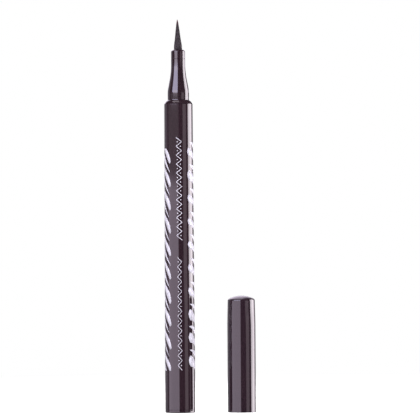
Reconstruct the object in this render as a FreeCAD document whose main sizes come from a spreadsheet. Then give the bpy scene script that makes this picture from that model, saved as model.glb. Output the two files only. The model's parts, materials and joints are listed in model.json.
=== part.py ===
import FreeCAD, Part
import math
import os
import Sketcher

# Liquid eyeliner pen, direct-liquid type, standing on its tail with the cap beside it.
# Millimetres. Z runs up the pen's axis, and the origin is the middle of the pen's foot.
sizes = {
    # Barrel: a plain tube with a slight taper
    "barrel_foot_radius": 4.95,
    "barrel_top_radius": 4.64,
    "barrel_length": 100.3,
    "barrel_bore_radius": 3.9,
    # Tail plug, pressed into the barrel's foot
    "tail_flange_height": 0.9,
    "tail_edge_bevel": 0.35,
    "tail_spigot_length": 5.0,
    "tail_spigot_wall": 0.9,
    "tail_floor": 0.8,
    "crush_rib_height": 0.12,
    "crush_rib_width": 0.5,
    "crush_rib_margin": 0.8,
    # Ink tank inside the barrel
    "tank_radius": 3.72,
    "tank_wall": 0.6,
    "tank_floor": 0.8,
    "tank_rib_width": 0.5,
    "tank_rib_margin": 3.0,
    # Steel mixing ball, loose in the ink
    "ball_radius": 1.0,
    "ball_gap": 0.05,
    # Collector: the comb that holds ink back when the air in the tank swells
    "collector_length": 18.0,
    "collector_stem_length": 8.6,
    "collector_stem_radius": 1.46,
    "collector_disc_thickness": 1.4,
    "comb_fin_radius": 2.9,
    "comb_root_radius": 1.25,
    "comb_pitch": 1.9,
    "comb_gap": 1.05,
    "ink_slot_width": 0.3,
    "air_slot_width": 0.9,
    "air_slot_depth": 0.7,
    # Feed rod: the fibre core from the tank to the brush
    "feed_rod_radius": 0.6,
    "feed_rod_reach": 2.0,
    # Front section: nozzle, spigot, shoulder, neck and flare
    "nozzle_length": 4.0,
    "nozzle_radius": 2.9,
    "spigot_length": 6.0,
    "seal_drop": 2.0,
    "seal_width": 0.7,
    "seal_height": 0.8,
    "shoulder_height": 1.15,
    "shoulder_edge_bevel": 0.12,
    "neck_radius": 3.48,
    "neck_foot_bevel": 0.15,
    "neck_length": 2.3,
    "cap_bead_height": 0.05,
    "cap_bead_width": 0.6,
    "cap_bead_rise": 1.1,
    "flare_round_height": 2.25,
    "flare_round_drop": 0.235,
    "flare_knee_radius": 11.0,
    "flare_cone_height": 2.75,
    "flare_cone_drop": 0.52,
    "flare_hollow_height": 3.9,
    "flare_hollow_radius": 28.0,
    "collar_height": 2.45,
    "collar_radius": 2.31,
    # Nib holder, pushed into the front section
    "holder_ring_height": 3.0,
    "holder_ring_radius": 2.3,
    "holder_ring_bevel": 0.45,
    "holder_crown_bevel": 0.2,
    "holder_stem_radius": 1.7,
    "holder_stem_length": 6.8,
    "holder_bore_radius": 1.36,
    "holder_mouth_bevel": 0.12,
    # Brush: bonded root in the holder, free bristles above it
    "root_flange_radius": 1.62,
    "root_flange_height": 0.6,
    "root_radius": 1.33,
    "root_socket_depth": 5.2,
    "bristle_length": 9.9,
    "bristle_base_radius": 1.3,
    "bristle_point_length": 1.3,
    "bristle_point_radius": 0.33,
    # Cap, standing on its mouth beside the pen
    "cap_stand_off": 20.2,
    "cap_mouth_radius": 4.61,
    "cap_taper_foot": 29.0,
    "cap_rim_radius": 4.43,
    "cap_rim_height": 37.35,
    "cap_rim_bevel": 0.35,
    "cap_dome_rise": 0.85,
    "cap_foot_bevel": 0.12,
    "cap_lip_bevel": 0.6,
    "cap_neck_clearance": 0.12,
    "cap_end_wall": 1.5,
    "cap_rib_width": 0.6,
    "cap_rib_reach": 0.3,
    "cap_seat_height": 6.4,
    "cap_seat_step": 0.2,
    # Inner cap: the soft cup that keeps the brush wet
    "inner_cap_foot": 6.9,
    "inner_skirt_height": 5.9,
    "inner_skirt_wall": 0.4,
    "inner_land_height": 5.0,
    "inner_land_clearance": 0.1,
    "inner_body_radius": 3.05,
    "inner_chamber_height": 11.2,
    "inner_chamber_radius": 1.9,
    "inner_chamber_wall": 0.6,
    # Clearances and the extra that a cut runs past its face
    "fit_clearance": 0.02,
    "rod_clearance": 0.05,
    "bristle_gap": 0.3,
    "overrun": 0.5,
}
crush_rib_count = 6
tank_rib_count = 4
cap_rib_count = 6

doc = FreeCAD.newDocument("liquid_eyeliner_pen")
sheet = doc.addObject("Spreadsheet::Sheet", "Sizes")
for row, (alias, value) in enumerate(sizes.items(), start=1):
    sheet.set(f"A{row}", alias)
    sheet.set(f"B{row}", str(value))
    sheet.setAlias(f"B{row}", alias)
doc.recompute()


class Length:
    """A named size, or a sum of named sizes: its value and the same sum in the sheet's words."""

    def __init__(self, value, words):
        self.value = value
        self.words = words

    def __add__(self, other):
        return Length(self.value + other.value, f"{self.words} + {other.words}")

    def __sub__(self, other):
        return Length(self.value - other.value, f"{self.words} - ({other.words})")

    def __mul__(self, share):
        return Length(self.value * share, f"({self.words}) * {share}")

    def __neg__(self):
        return Length(-self.value, f"-({self.words})")


def size(alias):
    return Length(sizes[alias], f"Sizes.{alias}")


zero = Length(0, "0")
half_share = 0.5
edge_rise_share = 2.0

# Heights along the pen, worked upwards from the foot
barrel_foot = size("tail_flange_height")
barrel_top = barrel_foot + size("barrel_length")
tank_foot = barrel_foot + size("tail_spigot_length")
spigot_foot = barrel_top - size("spigot_length")
nozzle_foot = spigot_foot - size("nozzle_length")
collector_foot = nozzle_foot - size("collector_length")
shoulder_top = barrel_top + size("shoulder_height")
neck_top = shoulder_top + size("neck_length")
cone_foot = neck_top + size("flare_round_height")
cone_top = cone_foot + size("flare_cone_height")
collar_foot = cone_top + size("flare_hollow_height")
collar_top = collar_foot + size("collar_height")
socket_floor = collar_top - size("holder_stem_length") - size("root_flange_height")
holder_top = collar_top + size("holder_ring_height")
rod_top = socket_floor + size("root_socket_depth")
tank_bore = size("tank_radius") - size("tank_wall")
seal_reach = tank_bore - size("fit_clearance")
seal_foot = spigot_foot - size("seal_drop")
rod_bore = size("feed_rod_radius") + size("rod_clearance")
stem_bore = size("collector_stem_radius") + size("fit_clearance")
rib_reach = size("barrel_bore_radius") - size("fit_clearance")
spigot_radius = rib_reach - size("crush_rib_height")
cap_bore = size("neck_radius") + size("cap_neck_clearance")
cap_seat = cap_bore - size("cap_seat_step")


def bind(feature, name, length):
    feature.setExpression(name, length.words)


def origin_of(body, role):
    return next(f for f in body.Origin.OriginFeatures if f.Role == role)


def new_body(label):
    body = doc.addObject("PartDesign::Body", label)
    body.Label = label
    return body


def new_sketch(body, name, role="XZ_Plane"):
    sketch = body.newObject("Sketcher::SketchObject", name)
    sketch.AttachmentSupport = [(origin_of(body, role), "")]
    sketch.MapMode = "FlatFace"
    return sketch


def arc_centre(start, end, radius, turn):
    """Centre of the short arc from start to end, anticlockwise if turn is 1 and clockwise if it is -1."""
    chord = end - start
    left = FreeCAD.Vector(-chord.y, chord.x, 0).normalize()
    reach = math.sqrt(radius**2 - (chord.Length * half_share) ** 2)
    return (start + end) * half_share + left * reach * turn


def draw_outline(sketch, corners):
    """Draws the closed outline through corners of (across, up) or (across, up, radius, turn).
    The last two make an arc of the edge that leaves the corner."""
    points = [FreeCAD.Vector(corner[0].value, corner[1].value, 0) for corner in corners]
    starts = []
    ends = []
    for index, corner in enumerate(corners):
        start = points[index]
        end = points[(index + 1) % len(corners)]
        if len(corner) == 2:
            edge = sketch.addGeometry(Part.LineSegment(start, end), False)
            starts.append((edge, 1))
            ends.append((edge, 2))
            continue
        radius, turn = corner[2:]
        centre = arc_centre(start, end, radius.value, turn)
        first, last = (start, end) if turn > 0 else (end, start)
        angles = [math.atan2(p.y - centre.y, p.x - centre.x) for p in (first, last)]
        circle = Part.Circle(centre, FreeCAD.Vector(0, 0, 1), radius.value)
        edge = sketch.addGeometry(Part.ArcOfCircle(circle, *angles), False)
        starts.append((edge, 1 if turn > 0 else 2))
        ends.append((edge, 2 if turn > 0 else 1))
        held = sketch.addConstraint(Sketcher.Constraint("Radius", edge, radius.value))
        sketch.setExpression(f"Constraints[{held}]", radius.words)
    for index, corner in enumerate(corners):
        sketch.addConstraint(Sketcher.Constraint("Coincident", *ends[index - 1], *starts[index]))
        before = corners[index - 1]
        straight = len(before) == 2 and index > 0
        across = (0, -2, "Vertical", "DistanceX")
        up = (1, -1, "Horizontal", "DistanceY")
        for part, axis, along, kind in (across, up):
            length = corner[part]
            if length is zero:
                sketch.addConstraint(Sketcher.Constraint("PointOnObject", *starts[index], axis))
            elif straight and before[part].words == length.words:
                sketch.addConstraint(Sketcher.Constraint(along, starts[index - 1][0]))
            else:
                rule = Sketcher.Constraint(kind, -1, 1, *starts[index], length.value)
                held = sketch.addConstraint(rule)
                sketch.setExpression(f"Constraints[{held}]", length.words)


def revolve(body, name, corners, kind="PartDesign::Revolution"):
    """Turns an outline of radii and heights about the body's Z axis."""
    sketch = new_sketch(body, name + "_outline")
    draw_outline(sketch, corners)
    turned = body.newObject(kind, name)
    turned.Profile = sketch
    turned.ReferenceAxis = (sketch, ["V_Axis"])
    turned.Angle = 360
    return turned


def slab(body, name, corners, thickness, kind="PartDesign::Pad"):
    """Pads, or pockets, an outline drawn in the XZ plane to both sides of that plane."""
    sketch = new_sketch(body, name + "_outline")
    draw_outline(sketch, corners)
    plate = body.newObject(kind, name)
    plate.Profile = sketch
    plate.Midplane = True
    bind(plate, "Length", thickness)
    return plate


def ring_of(body, name, feature, count):
    """Repeats a feature evenly round the Z axis."""
    pattern = body.newObject("PartDesign::PolarPattern", name)
    pattern.Originals = [feature]
    pattern.Axis = (origin_of(body, "Z_Axis"), [""])
    pattern.Angle = 360
    pattern.Occurrences = count
    body.Tip = pattern
    return pattern


def row_of(body, name, feature, count, pitch):
    """Repeats a feature up the Z axis at an even pitch."""
    pattern = body.newObject("PartDesign::LinearPattern", name)
    pattern.Originals = [feature]
    pattern.Direction = (origin_of(body, "Z_Axis"), [""])
    pattern.Mode = "Spacing"
    pattern.Occurrences = count
    bind(pattern, "Offset", pitch)
    body.Tip = pattern
    return pattern


def rectangle(inner, outer, low, high):
    return [(inner, low), (outer, low), (outer, high), (inner, high)]


def crush_ribs(body, foot, length):
    """The low ribs that hold a spigot tight in the barrel."""
    root = spigot_radius - size("crush_rib_height")
    low = foot + size("crush_rib_margin")
    high = foot + length - size("crush_rib_margin")
    rib = slab(body, "crush_rib", rectangle(root, rib_reach, low, high), size("crush_rib_width"))
    ring_of(body, "crush_ribs", rib, crush_rib_count)


def make_tail_plug():
    body = new_body("tail_plug")
    flange = size("barrel_foot_radius") - size("fit_clearance")
    bevel = size("tail_edge_bevel")
    top = barrel_foot + size("tail_spigot_length")
    hollow = spigot_radius - size("tail_spigot_wall")
    floor = barrel_foot + size("tail_floor")
    revolve(
        body,
        "plug",
        [
            (zero, zero),
            (flange - bevel, zero),
            (flange, bevel),
            (flange, barrel_foot),
            (spigot_radius, barrel_foot),
            (spigot_radius, top),
            (hollow, top),
            (hollow, floor),
            (zero, floor),
        ],
    )
    crush_ribs(body, barrel_foot, size("tail_spigot_length"))
    return body


def make_barrel():
    body = new_body("barrel")
    revolve(
        body,
        "tube",
        [
            (size("barrel_bore_radius"), barrel_foot),
            (size("barrel_foot_radius"), barrel_foot),
            (size("barrel_top_radius"), barrel_top),
            (size("barrel_bore_radius"), barrel_top),
        ],
    )
    return body


def make_ink_tank():
    body = new_body("ink_tank")
    radius = size("tank_radius")
    floor = tank_foot + size("tank_floor")
    revolve(
        body,
        "tank",
        [
            (zero, tank_foot),
            (radius, tank_foot),
            (radius, spigot_foot),
            (tank_bore, spigot_foot),
            (tank_bore, floor),
            (zero, floor),
        ],
    )
    low = tank_foot + size("tank_rib_margin")
    high = spigot_foot - size("tank_rib_margin")
    inner = radius - size("tank_wall") * half_share
    rib = slab(body, "centring_rib", rectangle(inner, rib_reach, low, high), size("tank_rib_width"))
    ring_of(body, "centring_ribs", rib, tank_rib_count)
    return body


def make_mixing_ball():
    ball = doc.addObject("Part::Sphere", "mixing_ball")
    ball.Label = "mixing_ball"
    bind(ball, "Radius", size("ball_radius"))
    bind(ball, "Placement.Base.z", tank_foot + size("tank_floor") + size("ball_gap") + size("ball_radius"))
    return ball


def make_collector():
    """The comb. Its fins are left by cutting one groove and repeating it, and two slots run
    the whole length: a narrow one that draws ink in and a wide one that lets air past."""
    body = new_body("collector")
    disc = tank_bore - size("fit_clearance")
    fin = size("comb_fin_radius")
    comb_low = collector_foot + size("collector_disc_thickness")
    comb_high = nozzle_foot - size("collector_disc_thickness")
    stem = size("collector_stem_radius")
    stem_top = nozzle_foot + size("collector_stem_length")
    solid = revolve(
        body,
        "blank",
        [
            (rod_bore, collector_foot),
            (disc, collector_foot),
            (disc, comb_low),
            (fin, comb_low),
            (fin, comb_high),
            (disc, comb_high),
            (disc, nozzle_foot),
            (stem, nozzle_foot),
            (stem, stem_top),
            (rod_bore, stem_top),
        ],
    )
    past = disc + size("overrun")
    root = size("comb_root_radius")
    groove = revolve(
        body,
        "comb_groove",
        rectangle(root, past, comb_low, comb_low + size("comb_gap")),
        "PartDesign::Groove",
    )
    room = comb_high - comb_low - size("comb_gap")
    grooves = int(room.value / sizes["comb_pitch"]) + 1
    row_of(body, "comb", groove, grooves, size("comb_pitch"))
    doc.recompute()
    before = body.Shape.Volume
    slab(
        body,
        "ink_slot",
        rectangle(root, past, collector_foot - size("overrun"), comb_high),
        size("ink_slot_width"),
        "PartDesign::Pocket",
    )
    air_floor = fin - size("air_slot_depth")
    slab(
        body,
        "air_slot",
        rectangle(-past, -air_floor, comb_low, nozzle_foot + size("overrun")),
        size("air_slot_width"),
        "PartDesign::Pocket",
    )
    doc.recompute()
    if not body.Shape.Volume < before < solid.Shape.Volume:
        raise SystemExit("the collector's comb or slots cut nothing")
    return body


def make_feed_rod():
    body = new_body("feed_rod")
    radius = size("feed_rod_radius")
    foot = collector_foot - size("feed_rod_reach")
    revolve(body, "rod", rectangle(zero, radius, foot, rod_top))
    return body


def make_front_section():
    """Nozzle, spigot, shoulder, neck and flare, turned as one profile up the outside and down the bore."""
    body = new_body("front_section")
    nozzle = size("nozzle_radius")
    groove = seal_reach - size("seal_width") - size("fit_clearance")
    groove_high = seal_foot + size("seal_height")
    shoulder = size("barrel_top_radius")
    edge = size("shoulder_edge_bevel")
    neck = size("neck_radius")
    foot_bevel = size("neck_foot_bevel")
    bead = neck + size("cap_bead_height")
    bead_low = shoulder_top + size("cap_bead_rise")
    bead_high = bead_low + size("cap_bead_width")
    cone_wide = neck - size("flare_round_drop")
    cone_narrow = cone_wide - size("flare_cone_drop")
    collar = size("collar_radius")
    socket = size("holder_stem_radius") + size("fit_clearance")
    revolve(
        body,
        "section",
        [
            (stem_bore, nozzle_foot),
            (nozzle, nozzle_foot),
            (nozzle, seal_foot),
            (groove, seal_foot),
            (groove, groove_high),
            (nozzle, groove_high),
            (nozzle, spigot_foot),
            (spigot_radius, spigot_foot),
            (spigot_radius, barrel_top),
            (shoulder, barrel_top),
            (shoulder - edge, barrel_top + edge * edge_rise_share),
            (neck + foot_bevel, shoulder_top - foot_bevel),
            (neck, shoulder_top),
            (neck, bead_low),
            (bead, bead_low + size("cap_bead_width") * half_share),
            (neck, bead_high),
            (neck, neck_top, size("flare_knee_radius"), 1),
            (cone_wide, cone_foot),
            (cone_narrow, cone_top, size("flare_hollow_radius"), -1),
            (collar, collar_foot),
            (collar, collar_top),
            (socket, collar_top),
            (socket, socket_floor),
            (stem_bore, socket_floor),
        ],
    )
    crush_ribs(body, spigot_foot, size("spigot_length"))
    return body


def make_tank_seal():
    """The square-cut rubber ring in the nozzle's groove."""
    body = new_body("tank_seal")
    inner = seal_reach - size("seal_width")
    revolve(body, "ring", rectangle(inner, seal_reach, seal_foot, seal_foot + size("seal_height")))
    return body


def make_nib_holder():
    body = new_body("nib_holder")
    bore = size("holder_bore_radius")
    ring = size("holder_ring_radius")
    stem = size("holder_stem_radius")
    stem_foot = collar_top - size("holder_stem_length")
    edge = size("holder_ring_bevel")
    crown = size("holder_crown_bevel")
    bevel = size("holder_mouth_bevel")
    revolve(
        body,
        "holder",
        [
            (bore, stem_foot),
            (stem, stem_foot),
            (stem, collar_top),
            (ring, collar_top),
            (ring, holder_top - edge - crown),
            (ring - crown, holder_top - edge),
            (ring - crown - edge, holder_top),
            (bore + bevel, holder_top),
            (bore, holder_top - bevel),
        ],
    )
    return body


def make_brush_root():
    body = new_body("brush_root")
    flange = size("root_flange_radius")
    flange_top = socket_floor + size("root_flange_height")
    root = size("root_radius")
    top = holder_top - size("bristle_gap")
    pocket_top = rod_top + size("rod_clearance")
    revolve(
        body,
        "root",
        [
            (rod_bore, socket_floor),
            (flange, socket_floor),
            (flange, flange_top),
            (root, flange_top),
            (root, top),
            (zero, top),
            (zero, pocket_top),
            (rod_bore, pocket_top),
        ],
    )
    return body


def make_brush_tip():
    body = new_body("brush_tip")
    tip = holder_top + size("bristle_length")
    point_foot = tip - size("bristle_point_length")
    revolve(
        body,
        "bristles",
        [
            (zero, holder_top),
            (size("bristle_base_radius"), holder_top),
            (size("bristle_point_radius"), point_foot),
            (zero, tip),
        ],
    )
    return body


def stand_beside(body):
    bind(body, "Placement.Base.x", size("cap_stand_off"))
    return body


def make_cap_shell():
    """The outer cap: bevelled mouth, long bore, ribs that carry the inner cap, rounded rim and low dome."""
    body = new_body("cap_shell")
    mouth = size("cap_mouth_radius")
    foot = size("cap_foot_bevel")
    rim = size("cap_rim_radius")
    bevel = size("cap_rim_bevel")
    rim_top = size("cap_rim_height")
    dome_top = rim_top + size("cap_dome_rise")
    dome = rim - bevel
    dome_radius = (dome.value**2 + sizes["cap_dome_rise"] ** 2) / (2 * sizes["cap_dome_rise"])
    dome_words = f"(({dome.words}) ^ 2 + Sizes.cap_dome_rise ^ 2) / (2 * Sizes.cap_dome_rise)"
    ceiling = rim_top - size("cap_end_wall")
    revolve(
        body,
        "shell",
        [
            (cap_bore + size("cap_lip_bevel"), zero),
            (mouth - foot, zero),
            (mouth, foot),
            (mouth, size("cap_taper_foot")),
            (rim, rim_top - bevel),
            (dome, rim_top, Length(dome_radius, dome_words), 1),
            (zero, dome_top),
            (zero, ceiling),
            (cap_seat, ceiling),
            (cap_seat, size("cap_seat_height")),
            (cap_bore, size("cap_seat_height") - size("cap_seat_step")),
            (cap_bore, size("cap_lip_bevel")),
        ],
    )
    low = size("inner_cap_foot") + size("inner_skirt_height")
    inner = cap_seat - size("cap_rib_reach")
    outer = cap_seat + (mouth - cap_seat) * half_share
    rib = slab(body, "rib", rectangle(inner, outer, low, ceiling), size("cap_rib_width"))
    ring_of(body, "ribs", rib, cap_rib_count)
    return stand_beside(body)


def make_inner_cap():
    """The soft cup: a skirt pressed into the cap, a land that closes on the nib holder's ring, and the
    chamber round the brush."""
    body = new_body("inner_cap")
    skirt = cap_seat - size("fit_clearance")
    foot = size("inner_cap_foot")
    skirt_top = foot + size("inner_skirt_height")
    land = size("collar_radius") + size("inner_land_clearance")
    land_top = skirt_top + size("inner_land_height")
    chamber_top = land_top + size("inner_chamber_height")
    chamber = size("inner_chamber_radius")
    body_radius = size("inner_body_radius")
    outside = chamber + size("inner_chamber_wall")
    revolve(
        body,
        "cup",
        [
            (skirt - size("inner_skirt_wall"), foot),
            (skirt, foot),
            (skirt, skirt_top),
            (body_radius, skirt_top),
            (body_radius, land_top),
            (outside, land_top),
            (outside, chamber_top + size("inner_chamber_wall")),
            (zero, chamber_top + size("inner_chamber_wall")),
            (zero, chamber_top),
            (chamber, chamber_top),
            (chamber, land_top - size("inner_chamber_wall")),
            (land, land_top - size("inner_chamber_wall")),
            (land, skirt_top - size("inner_skirt_wall")),
            (skirt - size("inner_skirt_wall"), skirt_top - size("inner_skirt_wall")),
        ],
    )
    return stand_beside(body)


pieces = [
    make_tail_plug(),
    make_barrel(),
    make_ink_tank(),
    make_mixing_ball(),
    make_collector(),
    make_tank_seal(),
    make_feed_rod(),
    make_front_section(),
    make_nib_holder(),
    make_brush_root(),
    make_brush_tip(),
    make_cap_shell(),
    make_inner_cap(),
]
doc.recompute()

for thing in doc.Objects:
    if "Invalid" in thing.State or "Error" in thing.State:
        raise SystemExit(f"{thing.Label} did not build: {thing.State}")
for piece in pieces:
    if piece.Shape.isNull() or not piece.Shape.isValid():
        raise SystemExit(f"{piece.Label} has no valid shape")

os.makedirs("parts", exist_ok=True)
for piece in pieces:
    piece.Shape.exportStep(f"parts/{piece.Label}.step")
    box = piece.Shape.BoundBox
    print(f"{piece.Label}: {piece.Shape.Volume:.2f} mm3, z {box.ZMin:.2f} to {box.ZMax:.2f}")
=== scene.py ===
import json
import math
import random

import bpy
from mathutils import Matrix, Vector


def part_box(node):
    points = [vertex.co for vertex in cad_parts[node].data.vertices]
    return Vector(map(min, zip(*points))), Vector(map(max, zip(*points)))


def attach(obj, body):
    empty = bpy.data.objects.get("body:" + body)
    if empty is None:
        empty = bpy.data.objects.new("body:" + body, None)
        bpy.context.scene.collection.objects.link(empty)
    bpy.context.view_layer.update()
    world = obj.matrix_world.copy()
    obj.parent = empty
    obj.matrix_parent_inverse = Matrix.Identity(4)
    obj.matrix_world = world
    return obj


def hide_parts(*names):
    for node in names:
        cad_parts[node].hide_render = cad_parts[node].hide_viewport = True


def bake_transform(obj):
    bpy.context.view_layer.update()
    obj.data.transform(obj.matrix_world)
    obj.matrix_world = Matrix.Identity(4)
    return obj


# Liquid eyeliner pen standing on its tail, brush up, with its cap standing beside it.
# Metres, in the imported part's frame: Z runs up the pen's axis and +X points at the cap.
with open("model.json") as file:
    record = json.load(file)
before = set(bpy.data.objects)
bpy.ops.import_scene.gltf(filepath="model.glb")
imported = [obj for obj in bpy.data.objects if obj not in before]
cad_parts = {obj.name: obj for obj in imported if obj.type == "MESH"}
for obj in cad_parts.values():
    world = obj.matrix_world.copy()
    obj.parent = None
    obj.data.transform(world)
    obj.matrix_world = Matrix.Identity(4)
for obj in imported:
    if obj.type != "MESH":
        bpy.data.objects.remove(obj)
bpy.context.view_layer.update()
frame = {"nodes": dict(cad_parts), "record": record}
print("frame loaded with", len(frame["nodes"]), "nodes")

scene = bpy.context.scene
capAxis = (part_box("cap_shell")[0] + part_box("cap_shell")[1]) / 2
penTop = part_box("brush_tip")[1].z

# camera, first, because everything is judged through it
view = {
    "distance": 1.5,
    "frameWidth": 0.13778,  # what the image covers at the pen
    "sensor": 36.0,  # in millimetres, as Blender takes it
    "clipStart": 0.01,
    "height": 0.06636,
    "shift": 0.00005,  # to the right of midway between pen and cap
    "roll": math.radians(0.37),
}


def addCamera():
    camera = bpy.data.cameras.new("photoCamera")
    camera.sensor_width = view["sensor"]
    camera.lens = view["sensor"] * view["distance"] / view["frameWidth"]
    camera.clip_start = view["clipStart"]
    stand = bpy.data.objects.new("photoCamera", camera)
    stand.location = (capAxis.x / 2 + view["shift"], -view["distance"], view["height"])
    stand.rotation_euler = (math.pi / 2, view["roll"], 0)
    scene.collection.objects.link(stand)
    scene.camera = stand


addCamera()
print("camera placed")


# Turned pieces: an outline of (radius, height, rounding) corners, run with the material on its left,
# becomes a mesh with the true normals of its walls and rounds.
lathing = {
    "sectors": 160,
    "roundStep": math.radians(11),
    "smoothTurn": math.radians(20),  # a corner that turns less is shaded smooth
    "roomShare": 0.49,  # how much of a side one rounding may take
    "onAxis": 1e-8,
}


def unit(across, up):
    length = math.hypot(across, up)
    return across / length, up / length


def turned(pair, angle):
    cosine, sine = math.cos(angle), math.sin(angle)
    return pair[0] * cosine - pair[1] * sine, pair[0] * sine + pair[1] * cosine


def outward(way):
    return way[1], -way[0]


def bowed(start, end, radius, steps, turn=1):
    # points between two corners along the short arc through both, which bulges, or is hollow at turn -1
    chord = Vector((end[0] - start[0], end[1] - start[1]))
    left = Vector((-chord.y, chord.x)).normalized()
    sink = math.sqrt(radius**2 - (chord.length / 2) ** 2)
    centre = Vector(start[:2]) + chord / 2 + left * sink * turn
    first = Vector(start[:2]) - centre
    sweep = 2 * math.asin(chord.length / 2 / radius) * turn
    points = []
    for step in range(1, steps):
        x, y = turned(first, sweep * step / steps)
        points.append((centre.x + x, centre.y + y))
    return points


def roundedCorner(before, corner, after):
    # one or more stations of (radius, height, normal arriving, normal leaving)
    arrive = unit(corner[0] - before[0], corner[1] - before[1])
    leave = unit(after[0] - corner[0], after[1] - corner[1])
    across = arrive[0] * leave[1] - arrive[1] * leave[0]
    along = arrive[0] * leave[0] + arrive[1] * leave[1]
    turn = math.atan2(across, along)
    rounding = corner[2] if len(corner) > 2 else 0
    if rounding == 0:
        if abs(turn) < lathing["smoothTurn"]:
            shared = outward(turned(arrive, turn / 2))
            return [(corner[0], corner[1], shared, shared)]
        return [(corner[0], corner[1], outward(arrive), outward(leave))]
    sides = (math.dist(before[:2], corner[:2]), math.dist(corner[:2], after[:2]))
    slope = math.tan(abs(turn) / 2)
    reach = min(rounding * slope, min(sides) * lathing["roomShare"])
    radius = math.copysign(reach / slope, turn)  # below zero where the outline turns right
    first = outward(arrive)
    centre = [corner[i] - arrive[i] * reach - first[i] * radius for i in (0, 1)]
    steps = max(2, math.ceil(abs(turn) / lathing["roundStep"]))
    stations = []
    for step in range(steps + 1):
        normal = turned(first, turn * step / steps)
        stations.append((centre[0] + normal[0] * radius, centre[1] + normal[1] * radius, normal, normal))
    return stations


def stationsOf(corners, closed):
    # an open outline starts and ends on the axis
    stations = []
    last = len(corners) - 1
    for index, corner in enumerate(corners):
        if not closed and index in (0, last):
            near = corners[1] if index == 0 else corners[last - 1]
            way = unit(near[0] - corner[0], near[1] - corner[1])
            normal = outward(way) if index == 0 else outward((-way[0], -way[1]))
            stations.append((corner[0], corner[1], normal, normal))
            continue
        stations += roundedCorner(corners[index - 1], corner, corners[(index + 1) % len(corners)])
    return stations


def lathe(corners, closed=True, centre=(0.0, 0.0)):
    # returns vertices, faces and one normal for each face corner
    sectors = lathing["sectors"]
    angles = [2 * math.pi * j / sectors for j in range(sectors)]
    ways = [(math.cos(angle), math.sin(angle)) for angle in angles]
    stations = stationsOf(corners, closed)
    vertices, rings = [], []
    for radius, height, _, _ in stations:
        if radius < lathing["onAxis"]:
            rings.append([len(vertices)] * sectors)
            vertices.append((centre[0], centre[1], height))
            continue
        rings.append(list(range(len(vertices), len(vertices) + sectors)))
        vertices += [(centre[0] + radius * x, centre[1] + radius * y, height) for x, y in ways]
    faces, normals = [], []
    spans = len(stations) if closed else len(stations) - 1
    for index in range(spans):
        other = (index + 1) % len(stations)
        low, high = rings[index], rings[other]
        lowNormal, highNormal = stations[index][3], stations[other][2]
        for j in range(sectors):
            k = (j + 1) % sectors
            loop = [(low[j], j, lowNormal), (low[k], k, lowNormal)]
            loop += [(high[k], k, highNormal), (high[j], j, highNormal)]
            if low[j] == low[k]:
                del loop[1]
            if high[j] == high[k]:
                del loop[-1]
            faces.append([corner[0] for corner in loop])
            normals += [(n[0] * ways[s][0], n[0] * ways[s][1], n[1]) for _, s, n in loop]
    return vertices, faces, normals


def makePiece(name, vertices, faces, normals=None):
    mesh = bpy.data.meshes.new(name)
    mesh.from_pydata(vertices, [], faces)
    mesh.polygons.foreach_set("use_smooth", [True] * len(faces))
    if normals:
        mesh.normals_split_custom_set(normals)
    mesh.update()
    piece = bpy.data.objects.new(name, mesh)
    scene.collection.objects.link(piece)
    return piece


# shader nodes: short ways to add them, and the effects that several materials share
def addNode(tree, kind, sockets, **settings):
    node = tree.nodes.new(kind)
    for name, value in settings.items():
        setattr(node, name, value)
    for name, value in sockets.items():
        if isinstance(value, bpy.types.NodeSocket):
            tree.links.new(value, node.inputs[name])
        else:
            node.inputs[name].default_value = value
    return node


def newGroup(name, inputs, outputs):
    # every socket carries a plain number
    tree = bpy.data.node_groups.new(name, "ShaderNodeTree")
    for label, start in inputs.items():
        socket = tree.interface.new_socket(name=label, in_out="INPUT", socket_type="NodeSocketFloat")
        socket.default_value = start
    for label in outputs:
        tree.interface.new_socket(name=label, in_out="OUTPUT", socket_type="NodeSocketFloat")
    return tree, tree.nodes.new("NodeGroupInput").outputs, tree.nodes.new("NodeGroupOutput").inputs


def calculate(tree, operation, first, second=0.0):
    return addNode(tree, "ShaderNodeMath", {0: first, 1: second}, operation=operation).outputs[0]


def ramp(tree, value, low, high, toLow=0.0, toHigh=1.0):
    sockets = {"Value": value, "From Min": low, "From Max": high, "To Min": toLow, "To Max": toHigh}
    return addNode(tree, "ShaderNodeMapRange", sockets, interpolation_type="SMOOTHSTEP").outputs[0]


def ownPlace(tree):
    # where a point lies on its own piece, in metres
    return addNode(tree, "ShaderNodeTexCoord", {}).outputs["Object"]


def stretched(tree, squeeze):
    # that place, squeezed along Z so that a noise on it runs up and down the piece
    sockets = {"Vector": ownPlace(tree), "Scale": (1.0, 1.0, squeeze)}
    return addNode(tree, "ShaderNodeMapping", sockets).outputs[0]


def noise(tree, place, scale, detail):
    sockets = {"Vector": place, "Scale": scale, "Detail": detail}
    return addNode(tree, "ShaderNodeTexNoise", sockets).outputs[0]


def makeMouldedSkin():
    # the slow waves of a moulded wall, and the fine rubs of handling that run mostly along it
    inputs = {"Wave Scale": 200.0, "Rub Scale": 9000.0, "Rub Amount": 0.05, "Roughness": 0.06}
    tree, given, results = newGroup("mouldedSkin", inputs, ("Height", "Roughness"))
    waves = noise(tree, stretched(tree, 0.2), given["Wave Scale"], 1.0)
    tree.links.new(waves, results["Height"])
    rubs = noise(tree, stretched(tree, 0.06), given["Rub Scale"], 2.0)
    peaks = ramp(tree, rubs, 0.6, 0.72)  # only the highest streaks of the noise are rubs
    added = calculate(tree, "MULTIPLY", peaks, given["Rub Amount"])
    tree.links.new(calculate(tree, "ADD", added, given["Roughness"]), results["Roughness"])
    return tree


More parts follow.
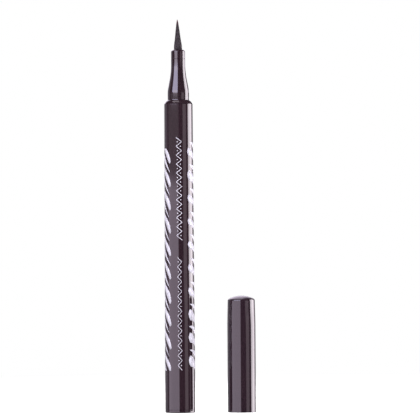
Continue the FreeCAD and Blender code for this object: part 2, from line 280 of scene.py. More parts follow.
def makeMottle():
    # uneven depth of a colour, as pigment streaks and thin dust give it
    inputs = {"Scale": 300.0, "Stretch": 0.3, "Strength": 0.1}
    tree, given, results = newGroup("mottle", inputs, ("Mask",))
    scale = addNode(tree, "ShaderNodeCombineXYZ", {"X": 1.0, "Y": 1.0, "Z": given["Stretch"]}).outputs[0]
    sockets = {0: ownPlace(tree), 1: scale}
    squeezed = addNode(tree, "ShaderNodeVectorMath", sockets, operation="MULTIPLY").outputs[0]
    spread = ramp(tree, noise(tree, squeezed, given["Scale"], 3.0), 0.3, 0.7)
    tree.links.new(calculate(tree, "MULTIPLY", spread, given["Strength"]), results["Mask"])
    return tree


def makeFibreGrain():
    # fine strands along Z, for the bristles and the fibre rods
    inputs = {"Strands": 9000.0, "Contrast": 0.5}
    tree, given, results = newGroup("fibreGrain", inputs, ("Mask", "Height"))
    strands = noise(tree, stretched(tree, 0.02), given["Strands"], 2.0)
    mask = ramp(tree, strands, 0.35, 0.65)
    tree.links.new(calculate(tree, "MULTIPLY", mask, given["Contrast"]), results["Mask"])
    tree.links.new(strands, results["Height"])
    return tree


mouldedSkin = makeMouldedSkin()
mottle = makeMottle()
fibreGrain = makeFibreGrain()


def startMaterial(name, **constants):
    material = bpy.data.materials.new(name)
    material.use_nodes = True
    tree = material.node_tree
    shader = tree.nodes["Principled BSDF"]
    for label, value in constants.items():
        shader.inputs[label].default_value = value
    return material, tree, shader


def addGroup(tree, group, sockets):
    return addNode(tree, "ShaderNodeGroup", sockets, node_tree=group)


def blended(tree, mask, first, second):
    # first may come from another node; the mix node keeps its colours at inputs 6 and 7 and output 2
    if not isinstance(first, bpy.types.NodeSocket):
        first = (*first, 1.0)
    sockets = {"Factor": mask, 6: first, 7: (*second, 1.0)}
    return addNode(tree, "ShaderNodeMix", sockets, data_type="RGBA").outputs[2]


def addBump(tree, shader, height, distance):
    bump = addNode(tree, "ShaderNodeBump", {"Height": height, "Distance": distance})
    tree.links.new(bump.outputs[0], shader.inputs["Normal"])


def makePlastic(name, finish):
    # moulded plastic: two tones a little apart, slow waves in the wall, rubs in the gloss
    material, tree, shader = startMaterial(name, **finish["constants"])
    uneven = addGroup(tree, mottle, finish["mottle"])
    tone = blended(tree, uneven.outputs["Mask"], finish["colour"], finish["otherColour"])
    tree.links.new(tone, shader.inputs["Base Color"])
    skin = addGroup(tree, mouldedSkin, finish["skin"])
    tree.links.new(skin.outputs["Roughness"], shader.inputs["Roughness"])
    addBump(tree, shader, skin.outputs["Height"], finish["waveHeight"])
    return material


def makeFibre(name, finish):
    # strands of two dark tones, and a warmer tone at the very tip
    material, tree, shader = startMaterial(name, **finish["constants"])
    grain = addGroup(tree, fibreGrain, {"Strands": finish["strands"], "Contrast": 1.0})
    dark = blended(tree, grain.outputs["Mask"], finish["colour"], finish["otherColour"])
    height = addNode(tree, "ShaderNodeSeparateXYZ", {0: ownPlace(tree)}).outputs["Z"]
    tip = ramp(tree, height, finish["tipFrom"], finish["tipTo"])
    tree.links.new(blended(tree, tip, dark, finish["tipColour"]), shader.inputs["Base Color"])
    addBump(tree, shader, grain.outputs["Height"], finish["grainHeight"])
    return material


# finishes: colours in linear light, noise scales to the metre, heights of waves and grain in metres
barrelFinish = {
    "colour": (0.0165, 0.0077, 0.0122),
    "otherColour": (0.0215, 0.0108, 0.0162),
    "mottle": {"Scale": 350.0, "Stretch": 0.2, "Strength": 0.5},
    "skin": {"Wave Scale": 210.0, "Rub Scale": 7000.0, "Rub Amount": 0.05, "Roughness": 0.05},
    "waveHeight": 0.000012,
    "constants": {"IOR": 1.5},
}
sectionFinish = {**barrelFinish, "colour": (0.0155, 0.0076, 0.0115), "waveHeight": 0.000006}
capFinish = {**barrelFinish, "colour": (0.0165, 0.0082, 0.0135), "waveHeight": 0.000014}
printFinish = {
    "colour": (0.56, 0.535, 0.63),
    "otherColour": (0.5, 0.475, 0.56),
    "mottle": {"Scale": 900.0, "Stretch": 1.0, "Strength": 0.6},
    "skin": {"Wave Scale": 2500.0, "Rub Scale": 9000.0, "Rub Amount": 0.1, "Roughness": 0.38},
    "waveHeight": 0.000004,
    "constants": {"IOR": 1.48},
}
tankFinish = {
    "colour": (0.8, 0.82, 0.82),
    "otherColour": (0.66, 0.69, 0.7),
    "mottle": {"Scale": 220.0, "Stretch": 0.5, "Strength": 0.7},
    "skin": {"Wave Scale": 300.0, "Rub Scale": 4000.0, "Rub Amount": 0.1, "Roughness": 0.3},
    "waveHeight": 0.00002,
    "constants": {"IOR": 1.49, "Alpha": 0.6},
}
collectorFinish = {
    "colour": (0.83, 0.83, 0.8),
    "otherColour": (0.72, 0.72, 0.69),
    "mottle": {"Scale": 800.0, "Stretch": 1.0, "Strength": 0.6},
    "skin": {"Wave Scale": 900.0, "Rub Scale": 8000.0, "Rub Amount": 0.1, "Roughness": 0.42},
    "waveHeight": 0.00001,
    "constants": {"IOR": 1.5},
}
innerCapFinish = {**collectorFinish, "colour": (0.8, 0.81, 0.8), "otherColour": (0.7, 0.71, 0.71)}
sealFinish = {
    "colour": (0.022, 0.022, 0.022),
    "otherColour": (0.05, 0.05, 0.048),
    "mottle": {"Scale": 2000.0, "Stretch": 1.0, "Strength": 0.7},
    "skin": {"Wave Scale": 3000.0, "Rub Scale": 9000.0, "Rub Amount": 0.15, "Roughness": 0.6},
    "waveHeight": 0.00001,
    "constants": {"IOR": 1.5},
}
ballFinish = {
    "colour": (0.66, 0.67, 0.69),
    "otherColour": (0.5, 0.51, 0.53),
    "mottle": {"Scale": 3000.0, "Stretch": 1.0, "Strength": 0.6},
    "skin": {"Wave Scale": 2500.0, "Rub Scale": 9000.0, "Rub Amount": 0.15, "Roughness": 0.14},
    "waveHeight": 0.000004,
    "constants": {"Metallic": 1.0},
}
brushFinish = {
    "colour": (0.0145, 0.0115, 0.013),
    "otherColour": (0.045, 0.036, 0.042),
    "strands": 9000.0,
    "grainHeight": 0.00003,
    "tipFrom": penTop - 0.0022,  # the warm tone starts here
    "tipTo": penTop - 0.0002,  # and is full here
    "tipColour": (0.07, 0.02, 0.027),
    "constants": {"Roughness": 0.75, "IOR": 1.35},
}
rodFinish = {**brushFinish, "colour": (0.03, 0.024, 0.025), "otherColour": (0.09, 0.08, 0.08)}

materials = {
    "barrel_plastic": makePlastic("auberginePlastic", barrelFinish),
    "section_plastic": makePlastic("sectionPlastic", sectionFinish),
    "cap_plastic": makePlastic("capPlastic", capFinish),
    "tank_plastic": makePlastic("naturalTankPlastic", tankFinish),
    "collector_plastic": makePlastic("combPlastic", collectorFinish),
    "inner_cap_plastic": makePlastic("innerCapPlastic", innerCapFinish),
    "seal_rubber": makePlastic("sealRubber", sealFinish),
    "ball_steel": makePlastic("polishedSteel", ballFinish),
    "brush_fibre": makeFibre("bristleFibre", brushFinish),
    "feed_fibre": makeFibre("feedFibre", rodFinish),
}
whitePrint = makePlastic("whitePrintInk", printFinish)
print("materials ready:", len(materials) + 1)


def dress(piece, slot, body, node):
    # the slot's finish, and the node that the piece stands for
    piece.data.materials.append(materials[slot])
    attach(piece, body)
    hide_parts(node)


# tail plug: the flange under the barrel, with the fine round that makes the dark band at the foot
plug = {
    "edgeRound": 0.0004,
    "seam": 0.00006,
    "spigotInset": 0.00012,  # how far its spigot stays inside the tank's reach
    "wall": 0.0009,
    "floor": 0.0008,
}


def makeTailPlug():
    low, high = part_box("tail_plug")
    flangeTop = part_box("barrel")[0].z
    radius = high.x
    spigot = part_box("ink_tank")[1].x - plug["spigotInset"]
    corners = [
        (0.0, low.z),
        (radius, low.z, plug["edgeRound"]),
        (radius, flangeTop, plug["seam"]),
        (spigot, flangeTop),
        (spigot, high.z, plug["seam"]),
        (spigot - plug["wall"], high.z, plug["seam"]),
        (spigot - plug["wall"], flangeTop + plug["floor"], plug["seam"]),
        (0.0, flangeTop + plug["floor"]),
    ]
    dress(makePiece("tailPlug", *lathe(corners, closed=False)), "barrel_plastic", "pen", "tail_plug")


# barrel: a long tube with a slight taper
tube = {"bore": 0.0039, "footRound": 0.00012, "topRound": 0.0001, "innerRound": 0.00008}


def makeBarrel():
    low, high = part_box("barrel")
    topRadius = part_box("front_section")[1].x
    corners = [
        (high.x, low.z, tube["footRound"]),
        (topRadius, high.z, tube["topRound"]),
        (tube["bore"], high.z, tube["innerRound"]),
        (tube["bore"], low.z, tube["innerRound"]),
    ]
    dress(makePiece("barrelTube", *lathe(corners)), "barrel_plastic", "pen", "barrel")


barrelLow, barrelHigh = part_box("barrel")
barrelNarrowing = (barrelHigh.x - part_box("front_section")[1].x) / (barrelHigh.z - barrelLow.z)


def barrelRadius(height):
    # widest at its foot
    return barrelHigh.x - (height - barrelLow.z) * barrelNarrowing


# front section: shoulder, neck and flare up to the collar that holds the nib
section = {
    # a rise is a height above what comes before it, and a drop is a loss of radius
    "shoulderLip": 0.0001,
    "shoulderRise": 0.00127,
    "shoulderRound": 0.00004,
    "shoulderBow": 0.0028,  # the radius to which the shoulder bulges
    "shoulderSteps": 4,
    "neckRadius": 0.00348,
    "neckFillet": 0.0002,
    "neckRise": 0.00218,
    "neckFootProud": 0.00004,
    "neckFootRise": 0.00022,
    "neckFootRound": 0.0006,
    "kneeRise": 0.00225,
    "kneeDrop": 0.000235,
    "kneeRadius": 0.011,
    "coneRise": 0.00275,
    "coneDrop": 0.00052,
    "hollowRise": 0.0039,
    "hollowRadius": 0.028,
    "flareSteps": 14,
    "collarRadius": 0.00231,
    "collarRound": 0.00006,
    "socket": 0.00172,
    "spigot": 0.00376,
    "spigotDepth": 0.006,
    "nozzle": 0.0029,
    "stemBore": 0.00148,
}


def makeFrontSection():
    low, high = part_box("front_section")
    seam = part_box("barrel")[1].z
    neck = section["neckRadius"]
    shoulderTop = seam + section["shoulderRise"]
    neckTop = shoulderTop + section["neckRise"]
    shoulder = (high.x - section["collarRound"], seam + section["shoulderLip"])
    neckFoot = (neck + section["neckFootProud"], shoulderTop)
    kneeEnd = (neck - section["kneeDrop"], neckTop + section["kneeRise"])
    coneEnd = (kneeEnd[0] - section["coneDrop"], kneeEnd[1] + section["coneRise"])
    hollowEnd = (section["collarRadius"], coneEnd[1] + section["hollowRise"])
    corners = [
        (section["stemBore"], low.z),
        (section["nozzle"], low.z, section["collarRound"]),
        (section["nozzle"], seam - section["spigotDepth"]),
        (section["spigot"], seam - section["spigotDepth"], section["collarRound"]),
        (section["spigot"], seam),
        (high.x, seam, section["collarRound"]),
        (*shoulder, section["shoulderRound"]),
        *bowed(shoulder, neckFoot, section["shoulderBow"], section["shoulderSteps"]),
        (*neckFoot, section["neckFillet"]),
        (neck, shoulderTop + section["neckFootRise"], section["neckFootRound"]),
        (neck, neckTop),
        *bowed((neck, neckTop), kneeEnd, section["kneeRadius"], section["flareSteps"]),
        kneeEnd,
        coneEnd,
        *bowed(coneEnd, hollowEnd, section["hollowRadius"], section["flareSteps"], turn=-1),
        hollowEnd,
        (section["collarRadius"], high.z, section["collarRound"]),
        (section["socket"], high.z),
        (section["socket"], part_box("brush_root")[0].z),
        (section["stemBore"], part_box("brush_root")[0].z),
    ]
    dress(makePiece("frontSection", *lathe(corners)), "section_plastic", "pen", "front_section")


# nib holder: the ring that grips the bristles, with its stem down in the section
holder = {
    "ringBevel": (0.0006, 0.00042),  # across, then down
    "ringRound": 0.0004,
    "seamRound": 0.0001,
    "bore": 0.00136,
    "mouthRound": 0.00012,
    "stem": 0.0017,
}


def makeNibHolder():
    low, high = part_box("nib_holder")
    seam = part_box("front_section")[1].z
    bevelAcross, bevelDown = holder["ringBevel"]
    corners = [
        (holder["stem"], low.z, holder["mouthRound"]),
        (holder["stem"], seam),
        (high.x, seam, holder["seamRound"]),
        (high.x, high.z - bevelDown, holder["ringRound"]),
        (high.x - bevelAcross, high.z, holder["ringRound"]),
        (holder["bore"], high.z, holder["mouthRound"]),
        (holder["bore"], low.z, holder["mouthRound"]),
    ]
    dress(makePiece("nibHolder", *lathe(corners)), "section_plastic", "pen", "nib_holder")


# cap: long thin cup with a low dome and ribs inside that carry the inner cap
cap = {
    "footRound": 0.00016,
    "lipDepth": 0.0006,
    "bore": 0.0036,
    "seat": 0.0034,
    "seatHeight": 0.0064,
    "taperFoot": 0.029,
    "rimRadius": 0.00443,
    "rimDrop": 0.00084,  # below the top of the dome
    "rimBevel": 0.00038,  # how far down the rim's bevel reaches
    "rimRound": 0.0007,
    "domeInset": 0.00066,
    "domeSteps": 16,
    "endWall": 0.00235,
    "ribs": 6,
    "ribWidth": 0.0006,
    "ribReach": 0.0031,
    "ribRise": 0.0059,  # above the inner cap's foot
    "ribIntoWall": 0.0002,
    "ribIntoEnd": 0.0001,
}


def addRib(vertices, faces, normals, angle, foot, top):
    # a bar inside the cap, sunk a little into its wall and its end
    first = len(vertices)
    free, buried, half = cap["ribReach"], cap["seat"] + cap["ribIntoWall"], cap["ribWidth"] / 2
    for height in (foot, top):
        for corner in ((free, -half), (free, half), (buried, half), (buried, -half)):
            x, y = turned(corner, angle)
            vertices.append((capAxis.x + x, capAxis.y + y, height))
    for loop in ((3, 2, 1, 0), (4, 5, 6, 7), (0, 1, 5, 4), (1, 2, 6, 5), (2, 3, 7, 6), (3, 0, 4, 7)):
        face = [first + corner for corner in loop]
        faces.append(face)
        a, b, c = (Vector(vertices[corner]) for corner in face[:3])
        normals += [tuple((b - a).cross(c - b).normalized())] * 4


def makeCapShell():
    low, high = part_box("cap_shell")
    mouth = high.x - capAxis.x
    rimTop = high.z - cap["rimDrop"]
    domeFoot = (cap["rimRadius"] - cap["domeInset"], rimTop)
    domeRadius = (domeFoot[0] ** 2 + cap["rimDrop"] ** 2) / (2 * cap["rimDrop"])
    end = high.z - cap["endWall"]
    corners = [
        (0.0, end),
        (cap["seat"], end, cap["rimRound"]),
        (cap["seat"], low.z + cap["seatHeight"]),
        (cap["bore"], low.z + cap["seatHeight"] - cap["footRound"]),
        (cap["bore"], low.z + cap["lipDepth"], cap["footRound"]),
        (cap["bore"] + cap["lipDepth"], low.z, cap["footRound"] / 2),
        (mouth, low.z, cap["footRound"]),
        (mouth, low.z + cap["taperFoot"]),
        (cap["rimRadius"], rimTop - cap["rimBevel"], cap["rimRound"]),
        (domeFoot[0], rimTop, cap["rimRound"]),
        *bowed(domeFoot, (0.0, high.z), domeRadius, cap["domeSteps"]),
        (0.0, high.z),
    ]
    vertices, faces, normals = lathe(corners, closed=False, centre=(capAxis.x, capAxis.y))
    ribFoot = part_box("inner_cap")[0].z + cap["ribRise"]
    for rib in range(cap["ribs"]):
        angle = 2 * math.pi * rib / cap["ribs"]
        addRib(vertices, faces, normals, angle, ribFoot, end + cap["ribIntoEnd"])
    dress(makePiece("capShell", vertices, faces, normals), "cap_plastic", "cap", "cap_shell")


makeTailPlug()
makeBarrel()
makeFrontSection()
makeNibHolder()
makeCapShell()
print("turned pieces ready")


# print on the barrel: tapered brush flicks round the sides and back, and a zigzag border in front
ink = {
    "proud": 0.000012,
    "sunk": 0.00004,
    "facet": math.radians(4.0),  # how far round the barrel one flat of a flick reaches
}


def onBarrel(angle, height, proud):
    # angle 0 faces the camera and grows to the right
    radius = barrelRadius(height) + proud
    return radius * math.sin(angle), -radius * math.cos(angle), height


def addPatch(vertices, faces, rows):
    # lower and upper rows of (angle, height) points become a thin closed patch that follows the barrel
    across = len(rows[0])
    first = len(vertices)
    for proud in (ink["proud"], -ink["sunk"]):
        for row in rows:
            vertices += [onBarrel(angle, height, proud) for angle, height in row]
    under = first + 2 * across
    for j in range(across - 1):
        quad = (j, j + 1, j + across + 1, j + across)
        faces.append([first + corner for corner in quad])
        faces.append([under + corner for corner in reversed(quad)])
    edge = list(range(across)) + list(range(2 * across - 1, across - 1, -1))
    for a, b in zip(edge, edge[1:] + edge[:1]):
        faces.append([first + b, first + a, under + a, under + b])


def makePrint(name, vertices, faces):
    piece = makePiece(name, vertices, faces)
    piece.data.materials.append(whitePrint)
    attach(piece, "pen")


flicks = {
    # where each band starts and how far it spreads round the barrel, then its foot and top
    "bands": (
        (math.radians(-34), math.radians(-92), 0.0138, 0.0866),
        (math.radians(-130), math.radians(-93), 0.0138, 0.0866),
        (math.radians(-227), math.radians(-96), 0.0138, 0.0896),
    ),
    "pitch": 0.0076,
    "thick": 0.0036,
    "thickShares": (0.8, 1.12),  # how much the flicks differ in width, and then in length
    "reachShares": (0.86, 1.0),
    "tip": 0.00006,  # half the width that is left at a flick's point
    "rise": 0.0072,
    "bow": 0.0015,
    "swell": 0.1,  # the share of its length over which a flick reaches its full width
    "thinning": 0.75,  # how evenly it thins out after that: 1 is straight, less is fuller
    "fewestPoints": 4,  # a flick that its band cuts down to fewer is left out
    "below": 2,  # flicks begun under a band, whose upper ends reach into it
    "seed": 7,
}


def addFlick(vertices, faces, start, spread, base, thick, rise, limits):
    # a flick starts blunt at one side of its band, thins out towards the other and keeps to its limits
    steps = math.ceil(abs(spread) / ink["facet"])
    shares = [0.0, flicks["swell"] / 3] + [step / steps for step in range(1, steps + 1)]
    low, high = [], []
    for share in shares:
        swell = math.sqrt(min(1.0, share / flicks["swell"]))
        half = max(flicks["tip"], thick / 2 * swell * (1 - share) ** flicks["thinning"])
        middle = base + rise * share + flicks["bow"] * math.sin(math.pi * share)
        angle = start + spread * share
        foot, top = max(middle - half, limits[0]), min(middle + half, limits[1])
        if top - foot > flicks["tip"]:
            low.append((angle, foot))
            high.append((angle, top))
    if len(low) < flicks["fewestPoints"]:
        return
    if spread < 0:
        low.reverse()
        high.reverse()
    addPatch(vertices, faces, (low, high))


def makeFlicks():
    # each band has two interleaved rows of flicks, and the second row's run back from its far side
    chance = random.Random(flicks["seed"])
    vertices, faces = [], []
    for start, spread, foot, top in flicks["bands"]:
        for index in range(-flicks["below"], math.ceil((top - foot) / flicks["pitch"]) + 1):
            base = foot + flicks["pitch"] * index
            for side, way in ((0, 1), (1, -1)):
                thick = flicks["thick"] * chance.uniform(*flicks["thickShares"])
                reach = chance.uniform(*flicks["reachShares"]) * way
                begin = start + spread * side
                height = base + side * (flicks["rise"] + flicks["pitch"] / 2)
                rise = flicks["rise"] * reach
                addFlick(vertices, faces, begin, spread * reach, height, thick, rise, (foot, top))
    makePrint("barrelFlicks", vertices, faces)


border = {
    # foot, top, width, line and rise of each run of the zigzag
    "runs": ((0.0565, 0.0903, 0.00186, 0.00021, 0.00145), (0.0139, 0.0511, 0.0014, 0.00017, 0.0016)),
    "turn": math.radians(0.9),  # how far the border sits to the right of the middle
    "points": 7,
    "dot": 0.00021,
    "dotShare": 0.55,  # how far out a lozenge sits, as a share of the half width
}


def addMark(vertices, faces, ends, radius):
    # a small patch from four corners in metres, from the lower left one round to the upper left one
    rows = []
    last = border["points"] - 1
    for (x0, z0), (x1, z1) in ((ends[0], ends[1]), (ends[3], ends[2])):
        row = []
        for k in range(border["points"]):
            x, z = x0 + (x1 - x0) * k / last, z0 + (z1 - z0) * k / last
            row.append((border["turn"] + x / radius, z))
        rows.append(row)
    addPatch(vertices, faces, rows)


def makeBorder():
    vertices, faces = [], []
    for foot, top, width, line, rise in border["runs"]:
        radius = barrelRadius((foot + top) / 2)
        half = width / 2
        count = round((top - foot) / rise)
        step = (top - foot - line) / count
        thick = line / 2 * math.hypot(width, step) / width
        for index in range(count):
            z = foot + line / 2 + step * index
            z0, z1 = (z, z + step) if index % 2 else (z + step, z)
            ends = ((-half, z0 - thick), (half, z1 - thick), (half, z1 + thick), (-half, z0 + thick))
            addMark(vertices, faces, ends, radius)
            if index < count - 1:
                dot = border["dot"]
                x, z = (-half if index % 2 else half) * border["dotShare"], z + step
                lozenge = ((x - dot, z), (x, z - dot), (x + dot, z), (x, z + dot))
                addMark(vertices, faces, lozenge, radius)
    makePrint("barrelBorder", vertices, faces)


makeFlicks()
makeBorder()
print("print ready")


# brush: a dense core with separate tapered bristles over it, drawn to a point
brush = {
    "layers": ((0.93, 150), (0.98, 150)),  # share of the brush's radius, then the number of bristles
    "bristleWidth": 0.00012,
    "thinning": 0.85,  # how much of its width a bristle loses towards its end
    "longReach": (0.9, 1.0),  # most bristles end here, as shares of the brush's length
    "shortReach": (0.68, 0.9),
    "shortEvery": 4,
    "drift": 0.12,  # how far a bristle may wind round the brush, in radians
    "stray": 0.000022,  # and how far its end may stand off
    "rings": 14,
    "sides": 5,
    "rootDepth": 0.0004,
    "coreShare": 0.95,
    "coreLength": 0.995,
    "coreSteps": 24,
    "lean": 0.00019,  # how far the tip sits off the axis
    "bendLength": 0.005,  # the stretch over which the bristles take up the bend
    "seed": 11,
    # share of the length, then of the radius at the mouth
    "outline": (
        (0.0, 1.0),
        (0.07, 1.0),
        (0.13, 0.978),
        (0.2, 0.913),
        (0.33, 0.755),
        (0.465, 0.63),
        (0.6, 0.515),
        (0.73, 0.39),
        (0.86, 0.265),
        (0.93, 0.17),
        (1.0, 0.04),
    ),
}


def brushShare(t):
    # the brush's radius at share t of its length, as a share of its radius at the mouth
    for (t0, r0), (t1, r1) in zip(brush["outline"], brush["outline"][1:]):
        if t <= t1:
            return r0 + (r1 - r0) * (t - t0) / (t1 - t0)
    return 0.0


def makeCore(mouth, radius, length):
    # the closed body under the bristles, from its foot inside the holder's mouth to its point
    root, steps = mouth - brush["rootDepth"], brush["coreSteps"]
    corners = [(0.0, root), (radius * brush["coreShare"], root)]
    for step in range(steps + 1):
        t = step / steps
        share = brushShare(t) * brush["coreShare"] if step < steps else 0.0
        corners.append((radius * share, mouth + length * t * brush["coreLength"]))
    vertices, faces, _ = lathe(corners, closed=False)
    return vertices, faces


def addBristle(vertices, faces, path):
    # a thin closed tube along points of (x, y, height, angle round the brush), narrowing as it goes
    sides = brush["sides"]
    rings = []
    for ring, (x, y, z, angle) in enumerate(path):
        thick = brush["bristleWidth"] / 2 * (1 - brush["thinning"] * ring / brush["rings"])
        rings.append(len(vertices))
        for side in range(sides):
            way = 2 * math.pi * side / sides + angle
            vertices.append((x + thick * math.cos(way), y + thick * math.sin(way), z))
    for a, b in zip(rings, rings[1:]):
        for side in range(sides):
            k = (side + 1) % sides
            faces.append([a + side, a + k, b + k, b + side])
    faces.append([rings[0] + side for side in reversed(range(sides))])
    faces.append([rings[-1] + side for side in range(sides)])


def makeBrush():
    chance = random.Random(brush["seed"])
    low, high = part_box("brush_tip")
    radius, length = high.x, high.z - low.z
    vertices, faces = makeCore(low.z, radius, length)
    for layer, count in brush["layers"]:
        for index in range(count):
            turn = 2 * math.pi * (index + chance.random()) / count
            kind = "longReach" if index % brush["shortEvery"] else "shortReach"
            reach = chance.uniform(*brush[kind])
            drift = chance.uniform(-brush["drift"], brush["drift"])
            path = []
            for ring in range(brush["rings"] + 1):
                t = ring / brush["rings"] * reach
                r = radius * layer * brushShare(t) + brush["stray"] * chance.uniform(0, 1) * t
                angle = turn + drift * t
                z = low.z + length * t - (brush["rootDepth"] if ring == 0 else 0)
                path.append((r * math.cos(angle), r * math.sin(angle), z, angle))
            addBristle(vertices, faces, path)
    leaning = [(x - brush["lean"] * max(0.0, z - low.z) / length, y, z) for x, y, z in vertices]
    piece = makePiece("brushBristles", leaning, faces)
    piece.data.materials.append(materials["brush_fibre"])
    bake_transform(piece)
    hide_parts("brush_tip")


makeBrush()
print("brush ready")

# the pieces inside keep their solids and get their finish
for entry in frame["record"]["subparts"]:
    node = frame["nodes"][entry["node"]]
    node.data.materials.clear()
    node.data.materials.append(materials[entry["material_slot"]])
print("inner pieces finished")


# studio: a pale floor, soft lamps, and the windows that the gloss shows
def windowMask(tree, turn, height, pane):
    # one soft-edged window, by its middle and half width round the pen and its height
    offset = calculate(tree, "SUBTRACT", turn, pane["middle"])
    sockets = {0: offset, 1: 180.0, 2: -180.0}
    wrapped = addNode(tree, "ShaderNodeMath", sockets, operation="WRAP").outputs[0]
    apart = calculate(tree, "ABSOLUTE", wrapped)
    softTurn, softRise = pane["softTurn"], pane["softRise"]
    across = ramp(tree, apart, pane["half"] - softTurn, pane["half"] + softTurn, 1.0, 0.0)
    rise = ramp(tree, height, pane["low"] - softRise, pane["low"] + softRise)
    fall = ramp(tree, height, pane["high"] - softRise, pane["high"] + softRise, 1.0, 0.0)
    return calculate(tree, "MULTIPLY", across, calculate(tree, "MULTIPLY", rise, fall))


def window(middle, half, low, high, softTurn, softRise, colour):
    names = ("middle", "half", "low", "high", "softTurn", "softRise", "colour")
    return dict(zip(names, (middle, half, low, high, softTurn, softRise, colour)))


studio = {
    "radius": 0.6,
    "low": -0.5,
    "high": 1.2,
    "sectors": 96,
    "glow": (0.085, 0.075, 0.083),  # what the gloss sees between the windows
    "fill": 0.55,  # the even light on everything else
}
# Degrees round the pen, where 0 lies on the camera's side and + is to the right, then metres of height,
# then how soft the edges are across and up; the last numbers are the light itself.
wallWindows = {
    "lowLeft": window(-49.0, 43.5, -0.6, 0.0834, 3.0, 0.0035, (3.05, 2.65, 3.2)),
    "dimLeft": window(-44, 45, 0.0834, 0.127, 3.0, 0.0035, (0.62, 0.56, 0.6)),
    "edgeLeft": window(-130, 28, -0.6, 0.35, 8.0, 0.02, (0.44, 0.42, 0.48)),
    "ringLeft": window(-35.5, 24, 0.127, 0.152, 5.0, 0.012, (5.6, 5.0, 5.9)),
    "flareLeft": window(-38, 31, 0.152, 0.55, 4.0, 0.012, (7.7, 7.2, 9.9)),
    "kneeLeft": window(-33, 21, 0.16, 0.23, 3.0, 0.012, (1.3, 1.1, 0.0)),
    "dimRight": window(48.3, 14.3, 0.035, 0.14, 2.0, 0.01, (1.3, 1.1, 1.2)),
    "dimAbove": window(46.0, 12.0, 0.14, 0.175, 3.0, 0.01, (0.6, 0.5, 0.55)),
    "dimRightLow": window(52.5, 13.5, -0.6, 0.035, 2.0, 0.004, (1.3, 1.1, 1.2)),
    "strip": window(100.3, 18.2, 0.03, 0.45, 2.5, 0.01, (11.6, 10.7, 11.4)),
    "stripLow": window(102.3, 16.2, -0.6, 0.03, 2.5, 0.01, (9.6, 8.8, 9.4)),
    "stripEdge": window(124.5, 7.5, -0.6, 0.45, 3.0, 0.03, (5.4, 4.9, 5.3)),
    "edgeRight": window(142, 11, -0.6, 0.12, 5.0, 0.005, (0.6, 0.55, 0.6)),
    "ringRight": window(146, 18, 0.127, 0.15, 5.0, 0.005, (1.5, 1.4, 1.6)),
    "backLeft": window(-171, 20, 0.15, 1.3, 9.0, 0.02, (1.9, 1.7, 2.05)),
}
ceilingWindows = {
    # their heights are rises in degrees
    "overhead": window(-50, 70, 71, 100, 12.0, 4.0, (3.0, 2.7, 2.9)),
    "leftAbove": window(-86, 32, 53, 71, 8.0, 4.0, (3.0, 2.7, 2.9)),
}


def emptyTree(owner):
    # the nodes of a new material or world, with none in it yet
    owner.use_nodes = True
    owner.node_tree.nodes.clear()
    return owner.node_tree


def mixedShader(tree, share, first, second):
    return addNode(tree, "ShaderNodeMixShader", {0: share, 1: first, 2: second}).outputs[0]


def windowLight(tree, parts, height, windows):
    # the faint glow, with the light of each window added to it
    toCamera = calculate(tree, "MULTIPLY", parts["Y"], -1.0)
    radians = calculate(tree, "ARCTAN2", parts["X"], toCamera)
    turn = calculate(tree, "MULTIPLY", radians, math.degrees(1))
    light = addNode(tree, "ShaderNodeCombineXYZ", dict(zip("XYZ", studio["glow"]))).outputs[0]
    for pane in windows.values():
        sockets = {0: pane["colour"], 1: windowMask(tree, turn, height, pane), 2: light}
        light = addNode(tree, "ShaderNodeVectorMath", sockets, operation="MULTIPLY_ADD").outputs[0]
    return light


def makeWall():
    # only the gloss sees it
    vertices, faces = [], []
    sectors = studio["sectors"]
    for j in range(sectors):
        angle = 2 * math.pi * j / sectors
        x, y = studio["radius"] * math.cos(angle), studio["radius"] * math.sin(angle)
        vertices += [(x, y, studio["low"]), (x, y, studio["high"])]
        k = (j + 1) % sectors
        faces.append([2 * j, 2 * j + 1, 2 * k + 1, 2 * k])
    screen = makePiece("studioWall", vertices, faces)
    material = bpy.data.materials.new("studioWall")
    tree = emptyTree(material)
    parts = addNode(tree, "ShaderNodeSeparateXYZ", {0: ownPlace(tree)}).outputs
    light = windowLight(tree, parts, parts["Z"], wallWindows)
    lit = addNode(tree, "ShaderNodeEmission", {"Color": light}).outputs[0]
    addNode(tree, "ShaderNodeOutputMaterial", {"Surface": lit})
    screen.data.materials.append(material)
    screen.visible_camera = False
    screen.visible_diffuse = False
    screen.visible_transmission = False
    screen.visible_shadow = False


def background(tree, colour, strength):
    return addNode(tree, "ShaderNodeBackground", {"Color": colour, "Strength": strength}).outputs[0]


def makeWorld():
    # white to the camera, windows overhead to the gloss, and an even fill to the rest
    world = bpy.data.worlds.new("studio")
    scene.world = world
    tree = emptyTree(world)
    way = addNode(tree, "ShaderNodeTexCoord", {}).outputs["Generated"]
    parts = addNode(tree, "ShaderNodeSeparateXYZ", {0: way}).outputs
    elevation = calculate(tree, "MULTIPLY", calculate(tree, "ARCSINE", parts["Z"]), math.degrees(1))
    gloss = background(tree, windowLight(tree, parts, elevation, ceilingWindows), 1.0)
    white = (1.0, 1.0, 1.0, 1.0)
    rays = addNode(tree, "ShaderNodeLightPath", {}).outputs
    lit = mixedShader(tree, rays["Is Glossy Ray"], background(tree, white, studio["fill"]), gloss)
    seen = calculate(tree, "MAXIMUM", rays["Is Camera Ray"], rays["Is Transmission Ray"])
    shown = mixedShader(tree, seen, lit, background(tree, white, 1.0))
    addNode(tree, "ShaderNodeOutputWorld", {"Surface": shown})


floorLook = {
    "half": 3.0,
    "drop": 0.00003,  # just under the pen's foot
    "colour": (0.8, 0.8, 0.8, 1.0),
    "glow": 0.45,
    "nearEdge": 0.1,  # from here to the far edge the camera sees it turn white
    "farEdge": 0.35,
}


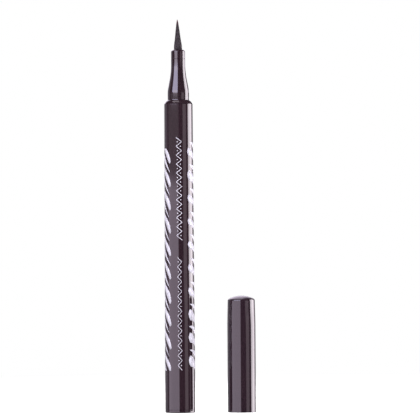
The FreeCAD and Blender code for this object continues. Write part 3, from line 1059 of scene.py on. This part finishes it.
def makeFloor():
    # it keeps the shadows, and fades to white away from the pen
    half = floorLook["half"]
    corners = [(-half, -half, 0.0), (half, -half, 0.0), (half, half, 0.0), (-half, half, 0.0)]
    floor = makePiece("paleFloor", corners, [[0, 1, 2, 3]])
    floor.location.z = -floorLook["drop"]
    material = bpy.data.materials.new("paleFloor")
    tree = emptyTree(material)
    diffuse = addNode(tree, "ShaderNodeBsdfDiffuse", {"Color": floorLook["colour"]}).outputs[0]
    glow = addNode(tree, "ShaderNodeEmission", {"Strength": floorLook["glow"]}).outputs[0]
    white = addNode(tree, "ShaderNodeEmission", {"Strength": 1.0}).outputs[0]
    away = addNode(tree, "ShaderNodeVectorMath", {0: ownPlace(tree)}, operation="LENGTH").outputs["Value"]
    far = ramp(tree, away, floorLook["nearEdge"], floorLook["farEdge"])
    near = addNode(tree, "ShaderNodeAddShader", {0: diffuse, 1: glow}).outputs[0]
    rays = addNode(tree, "ShaderNodeLightPath", {}).outputs
    shown = mixedShader(tree, rays["Is Camera Ray"], diffuse, mixedShader(tree, far, near, white))
    addNode(tree, "ShaderNodeOutputMaterial", {"Surface": shown})
    floor.data.materials.append(material)
    floor.visible_glossy = False


lamps = {
    # place, size, watts
    "keyLamp": ((-0.55, -0.75, 0.55), 0.6, 7.0),
    "sideLamp": ((0.7, -0.35, 0.45), 0.5, 4.0),
    "topLamp": ((0.0, 0.1, 0.9), 0.8, 6.0),
    "backLamp": ((0.1, 0.8, 0.5), 0.6, 4.0),
}


def makeLamps():
    target = Vector((capAxis.x / 2, 0.0, penTop / 2))
    for name, (place, size, watts) in lamps.items():
        lamp = bpy.data.lights.new(name, "AREA")
        lamp.shape = "DISK"
        lamp.size = size
        lamp.energy = watts
        stand = bpy.data.objects.new(name, lamp)
        stand.location = place
        stand.rotation_euler = (target - Vector(place)).to_track_quat("-Z", "Y").to_euler()
        stand.visible_glossy = False  # the gloss shows the studio's windows instead
        scene.collection.objects.link(stand)


makeWall()
makeWorld()
makeFloor()
makeLamps()
scene.view_settings.view_transform = "Standard"
print("studio ready")
